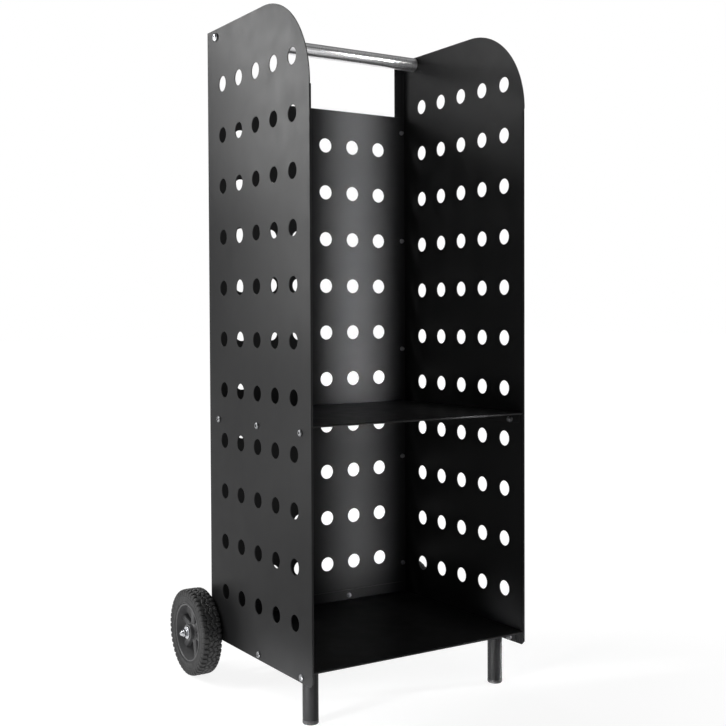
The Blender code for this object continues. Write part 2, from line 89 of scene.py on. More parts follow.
# Bolts: head radius, head height, shank radius and socket width; their nuts: flange radius, width and height
M5 = {"head": 0.0047, "rise": 0.0025, "shank": 0.0025, "key": 0.003}
M5.update({"flange": 0.0044, "flats": 0.0070, "nut": 0.0040})
M6 = {"head": 0.0055, "rise": 0.0025, "shank": 0.0030, "key": 0.004}
M6.update({"flange": 0.0054, "flats": 0.0088, "nut": 0.0052})
M8 = {"head": 0.0070, "rise": 0.0040, "shank": 0.0040, "key": 0.005}
BOLT_END = 0.0012
NUT_TURN = 1.1

# Handle, legs and axle brackets
HANDLE_WALL = 0.0012
LEG_RADIUS = 0.0125
LEG_WALL = 0.0015
LEG_PLATE = 0.0025
LEG_BEND = 0.0028
WELD_REACH = 0.0019
WELD_INSET = 0.0002
WELD_RIPPLE = 0.0003
WELD_WANDER = 0.0002
WELD_RIPPLES = 26
BRACKET = 0.0025
BRACKET_BEND = 0.0030
BRACKET_EAR_TOP = 0.137
AXLE_RADIUS = 0.005

# Wheels, about their own axis
TYRE_SEAT = 0.0503
TYRE_BULGE = 0.0155
TYRE_POWER = 6.5
TREAD_CUT = 0.0020
TREAD_START = 0.0640
TREAD_BLEND = 0.0025
TREAD_EDGE = 0.0082
EDGE_SWING = 0.0020
GROOVES = ((0, 0.0032), (TREAD_EDGE, EDGE_SWING), (-TREAD_EDGE, EDGE_SWING))
ZIGZAGS = 24
SIPE_SLANT = 0.030
SIPE_DEPTH = 0.6
SIDEWALL_START = 0.012
SIDEWALL_SINK = 0.0008
SIDEWALL_RIBS = (0.0530, 0.0625)
RIB_HEIGHT = 0.0007
RIB_WIDTH = 0.0009
RIM_RADIUS = 0.050
RIM_HALF = 0.0165
RIM_INSIDE = 0.0470
HUB_RADIUS = 0.0145
HUB_SPAN = (-0.0179, 0.0157)
BUSH_RADIUS = 0.008
SPOKES = 6
SPOKE_TURN = 40
SPOKE_ROUND = 0.45
SPOKE_RIB_HEIGHT = 0.0012
SPOKE_RIB_WIDTH = 0.0014

# A spoke's half width and half depth at distances from the axle
SPOKE_STATIONS = (
    (0.0100, 0.0094, 0.0052),
    (0.0150, 0.0074, 0.0050),
    (0.0220, 0.0064, 0.0047),
    (0.0340, 0.0060, 0.0046),
    (0.0420, 0.0064, 0.0048),
    (0.0460, 0.0076, 0.0050),
    (0.0485, 0.0094, 0.0052),
)

# Steps round, along and across the shapes
SMALL_CORNER_STEPS = 5
HOLE_STEPS = 48
BOLT_HOLE_STEPS = 16
BORE_STEPS = 40
BOLT_STEPS = 32
NUT_DOME_STEPS = 12
ROD_STEPS = 48
TUBE_STEPS = 64
HANDLE_STEPS = 96
RIM_STEPS = 128
WELD_AROUND = 208
WELD_ACROSS = 10
TYRE_AROUND = 576
TYRE_ACROSS = 96
SECTION_STEPS = 4000
SPOKE_STEPS = 32

# Studio
FLOOR_SIZE = 60.0
FLOOR_GLOW = 0.86
SURROUND_LIGHT = 0.08
CAMERA_PLACE = (-1.0532, -1.6945, 0.6272)
CAMERA_LENS = 56.565
CAMERA_SENSOR = 36.0
CAMERA_YAW = 32.551
CAMERA_TILT = 1.413
CAMERA_ROLL = -0.240
CAMERA_SHIFT = -0.0243

SIDES = {"left": -1, "right": 1}

# ---------------------------------------------------------------- shapes


def arc(centre, radius, first, last, steps):
    """Points along an arc, angles in degrees, both ends included."""
    points = []
    for step in range(steps + 1):
        angle = math.radians(first + (last - first) * step / steps)
        points.append((centre[0] + radius * math.cos(angle), centre[1] + radius * math.sin(angle)))
    return points


def circle(centre, radius, steps=HOLE_STEPS):
    """A ring of points, turned by an amount of its own so that neighbouring holes' points never line up."""
    turn = (9973.1 * centre[0] + 7919.3 * centre[1]) % 360
    return arc(centre, radius, turn, turn + 360 * (1 - 1 / steps), steps - 1)


def rounded_rectangle(low, high, radius):
    """The outline of a rectangle with round corners."""
    points = arc((high[0] - radius, high[1] - radius), radius, 0, 90, SMALL_CORNER_STEPS)
    points += arc((low[0] + radius, high[1] - radius), radius, 90, 180, SMALL_CORNER_STEPS)
    points += arc((low[0] + radius, low[1] + radius), radius, 180, 270, SMALL_CORNER_STEPS)
    points += arc((high[0] - radius, low[1] + radius), radius, 270, 360, SMALL_CORNER_STEPS)
    return points


def sheet(loops, thickness, edge=EDGE_ROUND):
    """A flat sheet about the plane w = 0, its edges rounded. The first loop is the outline, the others holes.
    The faces of its rim carry the value 1 in the attribute "rim"."""
    flat = bpy.data.curves.new("flat", "CURVE")
    flat.dimensions = "2D"
    flat.fill_mode = "BOTH"
    flat.extrude = thickness / 2 - edge
    flat.bevel_depth = edge
    flat.bevel_resolution = 1
    flat.offset = -edge
    for loop in loops:
        spline = flat.splines.new("POLY")
        spline.points.add(len(loop) - 1)
        spline.use_cyclic_u = True
        for point, (u, v) in zip(spline.points, loop):
            point.co = (u, v, 0, 1)
    drawn = bpy.data.objects.new("flat", flat)
    bpy.context.scene.collection.objects.link(drawn)
    graph = bpy.context.evaluated_depsgraph_get()
    mesh = bpy.data.meshes.new_from_object(drawn.evaluated_get(graph))
    bpy.data.objects.remove(drawn)
    shape = bmesh.new()
    shape.from_mesh(mesh)
    bpy.data.meshes.remove(mesh)
    bmesh.ops.remove_doubles(shape, verts=shape.verts, dist=TOUCHING)
    bmesh.ops.recalc_face_normals(shape, faces=shape.faces)
    rim = shape.faces.layers.float.new("rim")
    for face in shape.faces:
        face[rim] = 0.0 if abs(face.normal.z) > 0.99 else 1.0
    return shape


def fold(shape, axis, line, side, radius, degrees, towards, between=None):
    """Bends a sheet where it passes a line across its axis 0 or 1, on the line's side +1 or -1, by so many
    degrees about the given mid-plane radius, towards +1 or -1 along w. Between limits it along the line."""
    turn = math.radians(degrees)
    length = radius * turn
    for step in range(BEND_STEPS + 1):
        place = Vector((0, 0, 0))
        place[axis] = line + side * length * step / BEND_STEPS
        normal = Vector((0, 0, 0))
        normal[axis] = 1
        everything = shape.verts[:] + shape.edges[:] + shape.faces[:]
        bmesh.ops.bisect_plane(shape, geom=everything, plane_co=place, plane_no=normal, dist=0.000001)
    other = 1 - axis
    for vert in shape.verts:
        past = side * (vert.co[axis] - line)
        if past <= 0 or (between and not between[0] < vert.co[other] < between[1]):
            continue
        angle = min(past / radius, turn)
        straight = max(past - length, 0)
        height = towards * vert.co.z
        along = (radius - height) * math.sin(angle) + straight * math.cos(angle)
        rise = radius - (radius - height) * math.cos(angle) + straight * math.sin(angle)
        vert.co[axis] = line + side * along
        vert.co.z = towards * rise


def finished(shape, axes=None):
    """The shape as a mesh, its (u, v, w) laid along the world by the axes matrix, its faces pointing out."""
    if axes is not None:
        bmesh.ops.transform(shape, matrix=axes, verts=shape.verts)
    bmesh.ops.recalc_face_normals(shape, faces=shape.faces)
    mesh = bpy.data.meshes.new("shape")
    shape.to_mesh(mesh)
    shape.free()
    return mesh


def axes_matrix(u, v, w, origin):
    """The matrix that lays (u, v, w) along three world directions from an origin."""
    columns = Matrix((u, v, w)).transposed().to_4x4()
    return Matrix.Translation(origin) @ columns


def lathe(profile, steps):
    """A turned shape about Z from (radius, height) points; a profile that closes on itself makes a ring."""
    shape = bmesh.new()
    rings = []
    for radius, height in profile:
        if radius < 0.000001:
            rings.append([shape.verts.new((0, 0, height))])
            continue
        ring = []
        for step in range(steps):
            angle = 2 * math.pi * step / steps
            ring.append(shape.verts.new((radius * math.cos(angle), radius * math.sin(angle), height)))
        rings.append(ring)
    pairs = list(zip(rings, rings[1:]))
    if len(rings[0]) > 1 and len(rings[-1]) > 1:
        pairs.append((rings[-1], rings[0]))
    for upper, lower in pairs:
        for step in range(steps):
            after = (step + 1) % steps
            corners = [upper[step % len(upper)], lower[step % len(lower)]]
            if len(lower) > 1:
                corners.append(lower[after])
            if len(upper) > 1:
                corners.append(upper[after])
            shape.faces.new(corners)
    bmesh.ops.recalc_face_normals(shape, faces=shape.faces)
    return shape


def prism(across_flats, low, high):
    """A hexagonal prism along Z."""
    radius = across_flats / math.sqrt(3)
    return lathe([(0, low), (radius, low), (radius, high), (0, high)], 6)


def tunnel(shape, rings):
    """Faces between neighbouring rings of the same number of points."""
    for ring, after in rings:
        for part in range(len(ring)):
            following = (part + 1) % len(ring)
            shape.faces.new((ring[part], after[part], after[following], ring[following]))


def combine(first, second, operation):
    """The result of a Boolean between two shapes, as a new shape."""
    objects = []
    for shape in (first, second):
        mesh = finished(shape)
        obj = bpy.data.objects.new("operand", mesh)
        bpy.context.scene.collection.objects.link(obj)
        objects.append(obj)
    modifier = objects[0].modifiers.new("combine", "BOOLEAN")
    modifier.operation = operation
    modifier.object = objects[1]
    graph = bpy.context.evaluated_depsgraph_get()
    mesh = bpy.data.meshes.new_from_object(objects[0].evaluated_get(graph))
    result = bmesh.new()
    result.from_mesh(mesh)
    for obj in objects:
        bpy.data.objects.remove(obj)
    return result


def merged(*shapes):
    """Several shapes in one."""
    whole = bmesh.new()
    for shape in shapes:
        mesh = finished(shape)
        whole.from_mesh(mesh)
        bpy.data.meshes.remove(mesh)
    return whole


def add(name, mesh, material, slot, body, *nodes, smooth=22, weighted=False):
    """A visible piece: it takes its material, rides on its body and stands for its CAD nodes."""
    if not mesh.materials:
        mesh.materials.append(material)
    mesh.shade_smooth()
    mesh.set_sharp_from_angle(angle=math.radians(smooth))
    obj = bpy.data.objects.new(name, mesh)
    bpy.context.scene.collection.objects.link(obj)
    if weighted:
        normals = obj.modifiers.new("normals", "WEIGHTED_NORMAL")
        normals.keep_sharp = True
    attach(obj, body)
    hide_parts(*nodes)
    return obj


# ---------------------------------------------------------------- materials


class Nodes:
    """Short calls for building one node material."""

    def __init__(self, name):
        """A new material with its shader, placed by object coordinates."""
        self.material = bpy.data.materials.new(name)
        self.material.use_nodes = True
        self.tree = self.material.node_tree
        self.shader = self.tree.nodes["Principled BSDF"]
        self.place = self.tree.nodes.new("ShaderNodeTexCoord").outputs["Object"]

    def set(self, **values):
        """Constants straight on the shader's sockets."""
        for name, value in values.items():
            self.shader.inputs[name.replace("_", " ")].default_value = value
        return self

    def link(self, source, name):
        """The source into the shader's socket of that name."""
        self.tree.links.new(source, self.shader.inputs[name])

    def noise(self, scale, detail, stretch=(1, 1, 1)):
        """Noise from about 0 to 1, with more waves along an axis that is stretched more."""
        mapping = self.tree.nodes.new("ShaderNodeMapping")
        mapping.inputs["Scale"].default_value = stretch
        self.tree.links.new(self.place, mapping.inputs["Vector"])
        node = self.tree.nodes.new("ShaderNodeTexNoise")
        node.inputs["Scale"].default_value = scale
        node.inputs["Detail"].default_value = detail
        self.tree.links.new(mapping.outputs["Vector"], node.inputs["Vector"])
        return node.outputs["Fac"]

    def cells(self, scale):
        """The distance to the nearest of many scattered points."""
        node = self.tree.nodes.new("ShaderNodeTexVoronoi")
        node.inputs["Scale"].default_value = scale
        self.tree.links.new(self.place, node.inputs["Vector"])
        return node.outputs["Distance"]

    def attribute(self, name):
        """A value stored on the mesh."""
        node = self.tree.nodes.new("ShaderNodeAttribute")
        node.attribute_name = name
        return node.outputs["Fac"]

    def ranged(self, source, low, high, start=0.3, end=0.7):
        """The source's values from start to end, spread from low to high."""
        node = self.tree.nodes.new("ShaderNodeMapRange")
        node.inputs["From Min"].default_value = start
        node.inputs["From Max"].default_value = end
        node.inputs["To Min"].default_value = low
        node.inputs["To Max"].default_value = high
        self.tree.links.new(source, node.inputs["Value"])
        return node.outputs["Result"]

    def maths(self, operation, first, second):
        """One operation on two values; each is a plain number or a socket."""
        node = self.tree.nodes.new("ShaderNodeMath")
        node.operation = operation
        for socket, value in zip(node.inputs, (first, second)):
            if isinstance(value, (int, float)):
                socket.default_value = value
            else:
                self.tree.links.new(value, socket)
        return node.outputs["Value"]

    def mix(self, factor, first, second):
        """Two colours mixed; each is a plain colour or a socket."""
        node = self.tree.nodes.new("ShaderNodeMix")
        node.data_type = "RGBA"
        self.tree.links.new(factor, node.inputs["Factor"])
        for name, value in (("A", first), ("B", second)):
            socket = [s for s in node.inputs if s.name == name and s.type == "RGBA"][0]
            if isinstance(value, tuple):
                socket.default_value = (*value, 1.0)
            else:
                self.tree.links.new(value, socket)
        return [s for s in node.outputs if s.type == "RGBA"][0]

    def bump(self, height, depth, strength):
        """Relief of that depth on the shader's surface."""
        node = self.tree.nodes.new("ShaderNodeBump")
        node.inputs["Strength"].default_value = strength
        node.inputs["Distance"].default_value = depth
        self.tree.links.new(height, node.inputs["Height"])
        self.link(node.outputs["Normal"], "Normal")


def powder_coat():
    """Fine satin black powder coat with pale specks; its edges are a little smoother and painted paler, a
    painted highlight along them.
    """
    made = Nodes("black_powder_coat").set(Specular_IOR_Level=0.095)
    cloud = made.ranged(made.noise(7.0, 4.0), 0.0, 1.0)
    speck = made.ranged(made.noise(2600.0, 1.0), 0.0, 1.0, 0.45, 0.75)
    pale = (0.030, 0.030, 0.031)
    face = made.mix(cloud, (0.0085, 0.0086, 0.0090), (0.0115, 0.0116, 0.0120))
    face = made.mix(made.maths("MULTIPLY", speck, 0.25), face, pale)
    # Painted highlight: the edge faces are mixed towards the pale tone to stand in for light caught on their
    # rounding.
    made.link(made.mix(made.maths("MULTIPLY", made.attribute("rim"), 0.6), face, pale), "Base Color")
    rough = made.ranged(made.noise(35.0, 5.0), 0.36, 0.42)
    made.link(made.maths("SUBTRACT", rough, made.maths("MULTIPLY", made.attribute("rim"), 0.06)), "Roughness")
    grain = made.noise(900.0, 3.0)
    peel = made.noise(260.0, 1.0)
    made.bump(made.maths("ADD", made.maths("MULTIPLY", grain, 0.5), peel), 0.00006, 0.5)
    return made.material


def bright_steel():
    """Polished stainless tube with faint lines round it from the polishing wheel and a few fingerprints."""
    made = Nodes("polished_steel").set(Metallic=1.0, Anisotropic=0.9, Anisotropic_Rotation=0.25)
    tangent = made.tree.nodes.new("ShaderNodeTangent")
    tangent.direction_type = "RADIAL"
    tangent.axis = "X"
    made.link(tangent.outputs["Tangent"], "Tangent")
    smudge = made.ranged(made.noise(28.0, 5.0), 0.0, 1.0, 0.5, 0.75)
    made.link(made.mix(smudge, (0.80, 0.80, 0.81), (0.70, 0.70, 0.71)), "Base Color")
    line = made.noise(60.0, 3.0, (40.0, 1.0, 1.0))
    rough = made.maths("ADD", made.ranged(line, 0.26, 0.32), made.maths("MULTIPLY", smudge, 0.05))
    made.link(rough, "Roughness")
    made.bump(line, 0.00001, 0.25)
    return made.material


def zinc(name, bright, dull, rough):
    """Zinc plating with cloudy patches, from its bright shade to its dull one."""
    made = Nodes(name).set(Metallic=1.0)
    cloud = made.ranged(made.noise(420.0, 4.0), 0.0, 1.0)
    made.link(made.mix(cloud, bright, dull), "Base Color")
    made.link(made.ranged(made.noise(900.0, 3.0), rough, rough + 0.16), "Roughness")
    made.bump(made.noise(1500.0, 2.0), 0.00003, 0.4)
    return made.material


def tyre_rubber():
    """Matt moulded rubber with dusty patches."""
    made = Nodes("tyre_rubber")
    dust = made.ranged(made.noise(45.0, 6.0), 0.0, 1.0, 0.4, 0.7)
    made.link(made.mix(dust, (0.020, 0.020, 0.021), (0.036, 0.036, 0.036)), "Base Color")
    made.link(made.ranged(made.noise(160.0, 4.0), 0.52, 0.68), "Roughness")
    made.bump(made.maths("ADD", made.noise(1400.0, 2.0), made.noise(300.0, 3.0)), 0.00012, 0.5)
    return made.material


def moulded_plastic(name, shade):
    """Satin injection-moulded plastic with a fine spark-eroded grain."""
    made = Nodes(name)
    cloud = made.ranged(made.noise(60.0, 4.0), 0.0, 1.0)
    paler = tuple(1.35 * value for value in shade)
    made.link(made.mix(cloud, shade, paler), "Base Color")
    made.link(made.ranged(made.noise(220.0, 4.0), 0.36, 0.46), "Roughness")
    made.bump(made.cells(1800.0), 0.00005, 0.4)
    return made.material


def studio_floor():
    """Plain pale floor, which glows so that hardly a shadow shows, and the more the farther it is."""
    made = Nodes("pale_floor").set(Specular_IOR_Level=0.0)
    made.link(made.mix(made.noise(3.0, 3.0), (0.27, 0.27, 0.27), (0.29, 0.29, 0.29)), "Base Color")
    made.link(made.ranged(made.noise(5.0, 3.0), 0.85, 0.95), "Roughness")
    made.bump(made.noise(40.0, 3.0), 0.0002, 0.2)
    far = made.tree.nodes.new("ShaderNodeVectorMath")
    far.operation = "LENGTH"
    made.tree.links.new(made.place, far.inputs["Vector"])
    made.shader.inputs["Emission Color"].default_value = (1, 1, 1, 1)
    made.link(made.ranged(far.outputs["Value"], FLOOR_GLOW, 1.0, 0.5, 2.5), "Emission Strength")
    return made.material


COAT = powder_coat()
STEEL = bright_steel()
ZINC = zinc("bright_zinc", (0.66, 0.67, 0.69), (0.52, 0.53, 0.56), 0.20)
# Painted shade: the bolts use the same zinc plating as above with a much darker colour, standing in for the
# shade they sit in.
SHADED_BOLT_ZINC = zinc("shaded_bolt_zinc", (0.27, 0.272, 0.28), (0.19, 0.193, 0.20), 0.38)
RUBBER = tyre_rubber()
PLASTIC = moulded_plastic("black_plastic", (0.080, 0.080, 0.082))
FOOT_PLASTIC = moulded_plastic("foot_plastic", (0.014, 0.014, 0.015))

# ---------------------------------------------------------------- places from the frame


def middle(node, axis):
    """The middle of a CAD node's box along one axis."""
    low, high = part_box(node)
    return (low[axis] + high[axis]) / 2


PANEL_LOW, PANEL_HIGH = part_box("right_side_panel")
BACK_LOW, BACK_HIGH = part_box("back_panel")
AXLE_LOW, AXLE_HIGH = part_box("axle")
HALF_WIDTH = PANEL_HIGH[0]
FRONT = PANEL_LOW[1]
REAR = PANEL_HIGH[1]
AXLE_Y = middle("axle", 1)
AXLE_Z = middle("axle", 2)
AXLE_BORE = (AXLE_HIGH[2] - AXLE_LOW[2]) / 2 + GAP
HANDLE_Y = middle("handle_tube", 1)
HANDLE_Z = middle("handle_tube", 2)
TANGENT = PANEL_HIGH[2] - CORNER_RADIUS


def mount_height(name):
    """The height of a mount's face."""
    return [m for m in frame["record"]["mounts"] if m["name"] == name][0]["pos_m"][2]


def bolt_places(prefix, count, axis_a, axis_b):
    """Where a row of numbered fasteners is, in two axes."""
    return [(middle(f"{prefix}_{i}", axis_a), middle(f"{prefix}_{i}", axis_b)) for i in range(1, count + 1)]


SHELF_BOLTS = bolt_places("middle_shelf_bolt_right", 3, 1, 2)
SHELF_BOLTS += bolt_places("bottom_shelf_bolt_right", 3, 1, 2)
BACK_BOLTS = bolt_places("back_panel_bolt_right", 5, 0, 2)
BACK_BOLTS.append((middle("axle_bracket_bolt_right", 0), middle("axle_bracket_bolt_right", 2)))


# ---------------------------------------------------------------- case


def bolt_hole(centre, size):
    """The ring of a bolt's clearance hole."""
    return circle(centre, size["shank"] + 2 * GAP, BOLT_HOLE_STEPS)


def side_panel(side, sign):
    """The side sheet, folded from its flat pattern: u is world Y, v is world Z and w points into the case."""
    bend_line = REAR - SHEET / 2 - BEND_RADIUS
    hem_line = FRONT + SHEET / 2 + HEM_RADIUS
    flange_end = HALF_WIDTH - SHEET / 2 - BEND_RADIUS - PANEL_LOW[0]
    rear_u = bend_line + BEND_RADIUS * math.pi / 2 + flange_end
    hem_u = hem_line - HEM_RADIUS * math.pi - (FRONT + HEM_DEPTH - hem_line)
    low, high = PANEL_LOW[2], PANEL_HIGH[2]
    outline = arc((rear_u - FLANGE_CORNER, high - FLANGE_CORNER), FLANGE_CORNER, 90, 0, 4)
    outline += arc((rear_u - FLANGE_CORNER, low + FLANGE_CORNER), FLANGE_CORNER, 0, -90, 4)
    outline += [(hem_line + MITRE, low), (hem_line, low + MITRE), (hem_u + 0.0005, low + 2 * MITRE)]
    outline += [(hem_u, low + 2 * MITRE + 0.001), (hem_u, TANGENT - MITRE), (hem_line - 0.001, TANGENT)]
    outline += arc((FRONT + CORNER_RADIUS, TANGENT), CORNER_RADIUS, 179, 90, CORNER_STEPS)
    loops = [outline]
    for column in range(SIDE_COLUMNS):
        for row in range(SIDE_ROWS):
            y = FRONT + SIDE_HOLE_MARGIN + SIDE_COLUMN_PITCH * column
            loops.append(circle((y, FIRST_ROW + ROW_PITCH * row), HOLE_RADIUS))
    for place in SHELF_BOLTS:
        loops.append(bolt_hole(place, M6))
    loops.append(bolt_hole((HANDLE_Y, HANDLE_Z), M8))
    for x, z in BACK_BOLTS:
        along = HALF_WIDTH - SHEET / 2 - BEND_RADIUS - x
        loops.append(bolt_hole((bend_line + BEND_RADIUS * math.pi / 2 + along, z), M5))
    shape = sheet(loops, SHEET)
    fold(shape, 0, bend_line, 1, BEND_RADIUS, 90, 1)
    fold(shape, 0, hem_line, -1, HEM_RADIUS, 180, 1, between=(0, TANGENT - 0.0002))
    axes = axes_matrix((0, 1, 0), (0, 0, 1), (-sign, 0, 0), (sign * (HALF_WIDTH - SHEET / 2), 0, 0))
    name = f"{side}_side_sheet"
    add(name, finished(shape, axes), COAT, "black_coat", "frame", f"{side}_side_panel", weighted=True)


def back_panel():
    """The perforated rear sheet: u is world X, v is world Z."""
    low, high = BACK_LOW, BACK_HIGH
    loops = [rounded_rectangle((low[0], low[2]), (high[0], high[2]), BACK_CORNER)]
    for column in range(BACK_COLUMNS):
        for row in range(BACK_ROWS):
            x = (column - (BACK_COLUMNS - 1) / 2) * BACK_COLUMN_PITCH
            loops.append(circle((x, BACK_FIRST_ROW + ROW_PITCH * row), HOLE_RADIUS))
    rear_bolt = "bottom_shelf_rear_bolt_right"
    for x, z in [*BACK_BOLTS, (middle(rear_bolt, 0), middle(rear_bolt, 2))]:
        for sign in SIDES.values():
            loops.append(bolt_hole((sign * x, z), M5))
    axes = axes_matrix((1, 0, 0), (0, 0, 1), (0, -1, 0), (0, (low[1] + high[1]) / 2, 0))
    mesh = finished(sheet(loops, SHEET), axes)
    add("back_sheet", mesh, COAT, "black_coat", "frame", "back_panel", weighted=True)


def shelf(name, rear_up):
    """A shelf tray, folded from its flat pattern: u is world X, v is world Y and w is world Z."""
    low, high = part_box(name)
    level = mount_height(f"{name}_top") - SHEET / 2
    half = high[0]
    quarter = BEND_RADIUS * math.pi / 2 - BEND_RADIUS
    side_line = half - SHEET / 2 - BEND_RADIUS
    side_u = half - SHEET / 2 + quarter + level - low[2] - BEND_RADIUS
    front_line = low[1] + SHEET / 2 + HEM_RADIUS
    front_v = front_line - HEM_RADIUS * math.pi - (low[1] + HEM_DEPTH - front_line)
    rear_line = high[1] - SHEET / 2 - BEND_RADIUS
    rear_reach = high[2] - level if rear_up else level - low[2]
    rear_v = high[1] - SHEET / 2 + quarter + rear_reach - BEND_RADIUS
    notch = FRONT + HEM_DEPTH + 10 * GAP
    front_x = half - 0.002
    rear_x = half - SHEET - 10 * GAP
    corner = SHELF_CORNER
    right = [(0, front_v), (front_x - 0.001, front_v), (front_x, front_v + 0.001), (front_x, notch - 0.0005)]
    right.append((side_line, notch))
    right += arc((side_u - corner, notch + corner), corner, -90, 0, SMALL_CORNER_STEPS)
    right += arc((side_u - corner, high[1] - 0.0005 - corner), corner, 0, 90, SMALL_CORNER_STEPS)
    right += [(side_line + 0.0004, high[1] - 0.0005), (side_line, rear_line), (rear_x, rear_line)]
    right += arc((rear_x - corner, rear_v - corner), corner, 0, 90, SMALL_CORNER_STEPS)
    outline = right + [(-x, y) for x, y in reversed(right[1:])]
    loops = [outline]
    for number in (1, 2, 3):
        node = f"{name}_bolt_right_{number}"
        u = half - SHEET / 2 + quarter + level - middle(node, 2) - BEND_RADIUS
        for sign in SIDES.values():
            loops.append(bolt_hole((sign * u, middle(node, 1)), M6))
    if rear_up:
        node = "bottom_shelf_rear_bolt_right"
        v = high[1] - SHEET / 2 + quarter + middle(node, 2) - level - BEND_RADIUS
        for sign in SIDES.values():
            loops.append(bolt_hole((sign * middle(node, 0), v), M5))
    shape = sheet(loops, SHEET)
    for sign in SIDES.values():
        fold(shape, 0, sign * side_line, sign, BEND_RADIUS, 90, -1, between=(notch - 0.0004, 1))
    rear_span = (-rear_x - 0.0005, rear_x + 0.0005)
    fold(shape, 1, rear_line, 1, BEND_RADIUS, 90, 1 if rear_up else -1, between=rear_span)
    fold(shape, 1, front_line, -1, HEM_RADIUS, 180, -1)
    axes = axes_matrix((1, 0, 0), (0, 1, 0), (0, 0, 1), (0, 0, level))
    add(f"{name}_tray", finished(shape, axes), COAT, "black_coat", "frame", name, weighted=True)


# ---------------------------------------------------------------- fasteners


def outward(sign, x, y, z):
    """A place whose local +Z points out of the trolley along X."""
    return Matrix.Translation((sign * x, y, z)) @ Matrix.Rotation(sign * math.pi / 2, 4, "Y")


def backward(x, y, z):
    """A place whose local +Z points backwards, along +Y."""
    return Matrix.Translation((x, y, z)) @ Matrix.Rotation(-math.pi / 2, 4, "X")


def socket_head(size, tip):
    """A button head with a hexagon socket on its shank, which ends in a chamfer."""
    radius, rise, shank = size["head"], GAP + size["rise"], size["shank"]
    dome = []
    for step in range(9):
        angle = math.radians(10 * step)
        dome.append((radius * (0.40 + 0.60 * math.sin(angle)), rise * (0.30 + 0.70 * math.cos(angle))))
    skirt = [(radius, rise * 0.24), (radius, GAP + 0.0003), (radius - 0.0003, GAP), (shank, GAP)]
    end = [(shank, tip + 0.0006), (shank - 0.0006, tip), (0, tip)]
    body = lathe([(0, rise), *dome, *skirt, *end], BOLT_STEPS)
    return combine(body, prism(size["key"], rise * 0.25, rise + 0.001), "DIFFERENCE")


def flange_nut(size, top):
    """A hexagon nut with its own washer face."""
    flange, flats, height = size["flange"], size["flats"], size["nut"]
    washer = [(0, top), (flange - 0.0002, top), (flange, top - 0.0002), (flange, top - 0.0007)]
    washer += [(flats * 0.46, top - 0.0014), (0, top - 0.0014)]
    end = top - height
    cone = [(0, top), (flange, top), (flange, end + 0.0009), (flats * 0.47, end), (0, end)]
    body = combine(prism(flats, end, top - 0.0001), lathe(cone, BOLT_STEPS), "INTERSECT")
    return combine(body, lathe(washer, BOLT_STEPS), "UNION")


def bolt_mesh(size, grip):
    """A bolt along Z with its nut, the head's seat at height 0."""
    nut_top = -grip - GAP
    tip = nut_top - size["nut"] - BOLT_END
    return finished(combine(socket_head(size, tip), flange_nut(size, nut_top), "UNION"))


MADE_BOLTS = {}


def add_bolt(node, size, axis, number):
    """A bolt where its CAD node is. Its grip is what is left of the node's length after head, nut and end."""
    low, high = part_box(node)
    grip = round(high[axis] - low[axis] - size["rise"] - 2 * GAP - size["nut"] - BOLT_END, 5)
    if (size["head"], grip) not in MADE_BOLTS:
        MADE_BOLTS[size["head"], grip] = bolt_mesh(size, grip)
    seat = high[axis] - size["rise"] - GAP
    if axis == 0:
        sign = 1 if low[0] > 0 else -1
        seat = max(abs(low[0]), abs(high[0])) - size["rise"] - GAP
        place = outward(sign, seat, middle(node, 1), middle(node, 2))
    else:
        place = backward(middle(node, 0), seat, middle(node, 2))
    piece = add(f"{node}_look", MADE_BOLTS[size["head"], grip], SHADED_BOLT_ZINC, "zinc", "frame", node, smooth=30)
    piece.matrix_world = place @ Matrix.Rotation(number * NUT_TURN, 4, "Z")
    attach(piece, "frame")


def bolts():
    """Every bolt with a nut, each turned a little farther than the one before."""
    number = 0
    for side in SIDES:
        for shelf_name in ("middle", "bottom"):
            for place in (1, 2, 3):
                number += 1
                add_bolt(f"{shelf_name}_shelf_bolt_{side}_{place}", M6, 0, number)
        for place in (1, 2, 3, 4, 5):
            number += 1
            add_bolt(f"back_panel_bolt_{side}_{place}", M5, 1, number)
        number += 1
        add_bolt(f"axle_bracket_bolt_{side}", M5, 1, number)
        number += 1
        add_bolt(f"bottom_shelf_rear_bolt_{side}", M5, 1, number)


# ---------------------------------------------------------------- handle, legs and axle


def handle():
    """The polished tube, its threaded inserts and its two end bolts."""
    low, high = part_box("handle_tube")
    radius = (high[2] - low[2]) / 2
    half = high[0]
    bore = radius - HANDLE_WALL
    soft = 0.0003
    profile = [(radius - soft, half), (radius, half - soft), (radius, soft - half), (radius - soft, -half)]
    profile += [(bore, -half), (bore, half)]
    mesh = finished(lathe(profile, HANDLE_STEPS))
    mesh.transform(outward(1, 0, HANDLE_Y, HANDLE_Z))
    add("handle_bar", mesh, STEEL, "bright_tube", "frame", "handle_tube", smooth=30)
    for side, sign in SIDES.items():
        insert = frame["nodes"][f"handle_insert_{side}"]
        insert.data.materials.clear()
        insert.data.materials.append(ZINC)
        low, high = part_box(f"handle_bolt_{side}")
        tip = -(high[0] - low[0] - M8["rise"] - GAP)
        mesh = finished(socket_head(M8, tip))
        mesh.transform(outward(sign, HALF_WIDTH, HANDLE_Y, HANDLE_Z))
        add(f"handle_end_bolt_{side}", mesh, ZINC, "zinc", "frame", f"handle_bolt_{side}", smooth=30)


